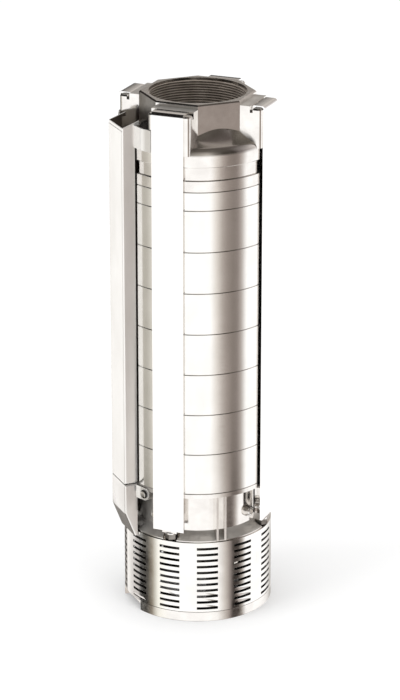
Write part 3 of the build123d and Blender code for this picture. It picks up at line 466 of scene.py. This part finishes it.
def under_the_funnel(face):
    """Whether a face of the guard's funnel looks outwards and down."""
    return face.normal.z < -SLANTS and face.normal.dot(GUARD_OUT) > LEANS


def at_the_seam(face):
    """Whether a face of the guard or its funnel is a sheet's level end at the seam between them."""
    return abs(face.normal.z) > LEVEL and face.calc_center_median().z < SEAM_TOP


def beside_the_head(face):
    """Whether a face of a guard screw is the side of its head, which doesn't look away from the shaft."""
    middle = face.calc_center_median()
    return face.normal.x * middle.x + face.normal.y * middle.y <= NEARLY * radius(middle)


def behind_the_sheet(face):
    """Whether a face of the strainer looks inwards."""
    middle = face.calc_center_median()
    return radius(middle) < STRAINER_BORE + WELD and abs(face.normal.z) < MOSTLY


def shortening_spring():
    """Spring that stands on the valve cup, in the CAD spring's place, with its own copy of its mesh."""
    spring = rounded("valve_spring", 0)
    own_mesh(spring)


def build_pieces():
    """Visible pieces that take the place of plain CAD nodes."""
    threaded_casing()
    shortening_spring()
    for name in STRAPS:
        rounded(name, STRAP_EDGE)
    # Painted shade: the inner faces of the guard and its funnel, and their sheet ends at the seam, are drawn dark
    # brown
    rounded("cable_guard", GUARD_EDGE, zones=((SCALE, in_the_channel), (SCALE, at_the_seam)))
    rounded("cable_guard_funnel", GUARD_EDGE,
            # Painted shade: the funnel's underside is drawn dull grey
            zones=((SCALE, in_the_channel), (SCALE, at_the_seam), (DULL, under_the_funnel)))
    # Painted shade: the sides of the screw heads are drawn dark grey
    rounded("cable_guard_screws", SCREW_EDGE, zones=((AS_CAST, beside_the_head),))
    # Painted shade: the casting's inside behind the strainer is drawn dark grey
    rounded("suction_interconnector", CASING_EDGE,
            zones=((AS_CAST, in_the_strainer), (BLASTED, in_the_bowl), (BLASTED, on_the_shoulder),
                   # Painted sheen: the bowl wall behind the guard is drawn in the grey blasted finish
                   (BLASTED, behind_the_guard)))
    # Painted shade: the strainer's inner faces are drawn dark grey
    rounded("strainer", STRAINER_EDGE, zones=((AS_CAST, behind_the_sheet),))


def paint_nodes():
    """Finish of every CAD node."""
    for name, node in frame["nodes"].items():
        node.data.materials.clear()
        node.data.materials.append(FINISHES[name])


def studio_world():
    """White room for the camera; what shines sees the dark flags, the walls and a dim ceiling."""
    world = bpy.data.worlds.new("studio")
    bpy.context.scene.world = world
    world.use_nodes = True
    tree = world.node_tree
    tree.nodes.clear()
    where = add(tree, "ShaderNodeTexCoord").outputs["Generated"]
    split = add(tree, "ShaderNodeSeparateXYZ", {"Vector": where})
    behind = add(tree, "ShaderNodeMath", {0: split.outputs["Y"], 1: -1.0}, operation="MULTIPLY")
    angle = add(tree, "ShaderNodeMath", {0: split.outputs["X"], 1: behind.outputs[0]}, operation="ARCTAN2")
    share = add(tree, "ShaderNodeMapRange", {"Value": angle.outputs[0], "From Min": -math.pi, "From Max": math.pi})
    room = None
    for low, high, stops in ROOM:
        ramp = add(tree, "ShaderNodeValToRGB", {"Fac": share.outputs[0]})
        paint_ramp(ramp.color_ramp, [((stop + 180) / 360, colour) for stop, colour in stops])
        if room:
            limits = {"Value": split.outputs["Z"], "From Min": low, "From Max": high}
            rise = add(tree, "ShaderNodeMapRange", limits)
            mix = add(tree, "ShaderNodeMix", {0: rise.outputs[0], 6: room, 7: ramp.outputs["Color"]},
                      data_type="RGBA")
            room = mix.outputs[2]
        else:
            room = ramp.outputs["Color"]
    path = add(tree, "ShaderNodeLightPath")
    shiny = add(tree, "ShaderNodeMath", {0: path.outputs["Is Glossy Ray"], 1: path.outputs["Is Transmission Ray"]},
                operation="MAXIMUM")
    picture = add(tree, "ShaderNodeMix", {0: shiny.outputs[0], 6: srgb("#FFFFFF"), 7: room}, data_type="RGBA")
    level = add(tree, "ShaderNodeMapRange", {"Value": shiny.outputs[0], "To Min": 1.0, "To Max": SHINE_LEVEL})
    light = add(tree, "ShaderNodeBackground", {"Color": picture.outputs[2], "Strength": level.outputs[0]})
    add(tree, "ShaderNodeOutputWorld", {"Surface": light.outputs[0]})


def paint_ramp(ramp, stops):
    """Colour ramp from (place, hex) pairs."""
    while len(ramp.elements) > 1:
        ramp.elements.remove(ramp.elements[-1])
    ramp.elements[0].position = stops[0][0]
    ramp.elements[0].color = srgb(stops[0][1])
    for place, colour in stops[1:]:
        ramp.elements.new(place).color = srgb(colour)


# How much brighter the room is for what shines in it, so that steel reaches white
SHINE_LEVEL = 1.25
# The room as the metal sees it, from the floor up: the heights between which each belt fades in
# (-1 is straight down, 1 straight up), then angle from -Y towards +X in degrees and the colour there
ROOM = [
    (-1.0, -1.0, [
        (-180, "#8E8A86"), (-158, "#6E6A66"), (-138, "#2E2B29"), (-132, "#35322F"), (-125, "#F4F2F0"),
        (-98, "#C8C4C2"), (-86, "#C8C4C2"), (-80, "#101010"), (-64, "#141312"), (-54, "#857B6C"), (-43, "#F6F5EC"),
        (-20, "#FFFFFF"), (54, "#FFFFFF"), (66, "#CFC8C2"), (74, "#968C88"), (79, "#231E1B"), (90, "#2C2623"),
        (97, "#9A928A"), (104, "#FFFFFF"), (150, "#FFFFFF"), (180, "#8E8A86"),
    ]),
    (-0.46, -0.43, [
        (-180, "#B4B0AC"), (-140, "#8E8A86"), (-130, "#96928E"), (-123, "#F4F2F0"),
        (-98, "#C8C4C2"), (-86, "#C8C4C2"), (-80, "#101010"), (-64, "#141312"), (-54, "#857B6C"), (-43, "#F6F5EC"),
        (-20, "#FFFFFF"), (54, "#FFFFFF"), (66, "#CFC8C2"), (74, "#968C88"), (79, "#231E1B"), (90, "#2C2623"),
        (97, "#9A928A"), (104, "#FFFFFF"), (150, "#FFFFFF"), (180, "#B4B0AC"),
    ]),
    (-0.4, -0.388, [
        (-180, "#FFFFFF"), (-165, "#FFFFFF"), (-150, "#2A2826"), (-132, "#3A3836"), (-124, "#E8E6E4"),
        (-113, "#F6F5F3"), (-95, "#FFFFFF"), (-90, "#101010"), (-82, "#101010"), (-79, "#F8F8F6"), (-75, "#F0EFEC"),
        (-72, "#B0ACA3"), (-61, "#B8B4AC"), (-50, "#DCD9D2"), (-42, "#FFFFFF"), (42, "#FFFFFF"), (50, "#E2DCD6"),
        (60, "#ACA39D"), (68, "#928882"), (78, "#837A74"), (86, "#887E79"), (94, "#B4ACA7"), (103, "#FFFFFF"),
        (180, "#FFFFFF"),
    ]),
    (-0.2, 0.2, [
        (-180, "#FFFFFF"), (-172, "#FFFFFF"), (-165, "#100F0E"), (-8, "#100F0E"), (24, "#9A958E"), (38, "#B0ABA4"),
        (50, "#6C6761"), (62, "#403B35"), (80, "#35302B"), (92, "#6F6765"), (130, "#E0DBD8"), (150, "#A09894"),
        (170, "#FFFFFF"), (180, "#FFFFFF"),
    ]),
    (0.21, 0.29, [
        (-180, "#B8B2AC"), (-150, "#B0AAA4"), (-132, "#3A3532"), (-110, "#100F0E"), (-8, "#100F0E"),
        (24, "#9A958E"), (38, "#B0ABA4"), (50, "#6C6761"), (62, "#403B35"), (80, "#35302B"), (92, "#6F6765"),
        (130, "#E0DBD8"), (150, "#A09894"), (180, "#B8B2AC"),
    ]),
    (0.45, 0.85, [
        (-180, "#8A827C"), (-165, "#55504A"), (-154, "#141210"), (-22, "#141210"), (4, "#4A453F"), (50, "#57524C"),
        (90, "#4A443F"), (140, "#5A524F"), (170, "#8F8882"), (180, "#8A827C"),
    ]),
]


def aim_at_the_middle(holder, angle, rise, distance):
    """Places a lamp or camera round the pump, angle degrees from -Y towards +X, and turns it to the middle."""
    a, e = math.radians(angle), math.radians(rise)
    back = Vector((math.sin(a) * math.cos(e), -math.cos(a) * math.cos(e), math.sin(e)))
    holder.location = AXIS * AIM_HEIGHT + back * distance
    holder.rotation_euler = (-back).to_track_quat("-Z", "Y").to_euler()


def floor_and_lamps():
    """Pale floor that keeps the shadow, and two soft lamps."""
    mesh = bmesh.new()
    bmesh.ops.create_grid(mesh, x_segments=1, y_segments=1, size=FLOOR_SIZE)
    data = bpy.data.meshes.new("floor")
    mesh.to_mesh(data)
    mesh.free()
    floor = bpy.data.objects.new("floor", data)
    bpy.context.collection.objects.link(floor)
    material = bpy.data.materials.new("white_paper_floor")
    material.use_nodes = True
    tree = material.node_tree
    tree.nodes.clear()
    path = add(tree, "ShaderNodeLightPath")
    tone = add(tree, "ShaderNodeMix", {0: path.outputs["Is Camera Ray"], 6: srgb("#C4C4C4"), 7: srgb("#FFFFFF")},
               data_type="RGBA")
    paper = add(tree, "ShaderNodeBsdfDiffuse", {"Color": tone.outputs[2]})
    add(tree, "ShaderNodeOutputMaterial", {"Surface": paper.outputs[0]})
    data.materials.append(material)
    floor.visible_glossy = False
    for name, (angle, rise, size, power) in LAMPS.items():
        lamp = bpy.data.lights.new(name, "AREA")
        lamp.size = size
        lamp.energy = power
        holder = bpy.data.objects.new(name, lamp)
        holder.visible_glossy = False
        bpy.context.collection.objects.link(holder)
        aim_at_the_middle(holder, angle, rise, LAMP_DISTANCE)


def photograph_camera():
    """Camera at the photograph's viewing angle."""
    data = bpy.data.cameras.new("camera")
    data.sensor_width = SENSOR
    data.lens = FOCAL_PIXELS * SENSOR / IMAGE_HEIGHT
    data.shift_x = (IMAGE_CENTRE_X - AXIS_PIXEL_X) / IMAGE_HEIGHT
    data.clip_end = FARTHEST_SEEN
    camera = bpy.data.objects.new("camera", data)
    bpy.context.collection.objects.link(camera)
    aim_at_the_middle(camera, CAMERA_ANGLE, CAMERA_RISE, CAMERA_DISTANCE)
    bpy.context.scene.camera = camera


bpy.context.scene.view_settings.view_transform = "Standard"
FINISHES = node_finishes()
SLOTS, BODIES = node_slots()
paint_nodes()
build_pieces()
studio_world()
floor_and_lamps()
photograph_camera()
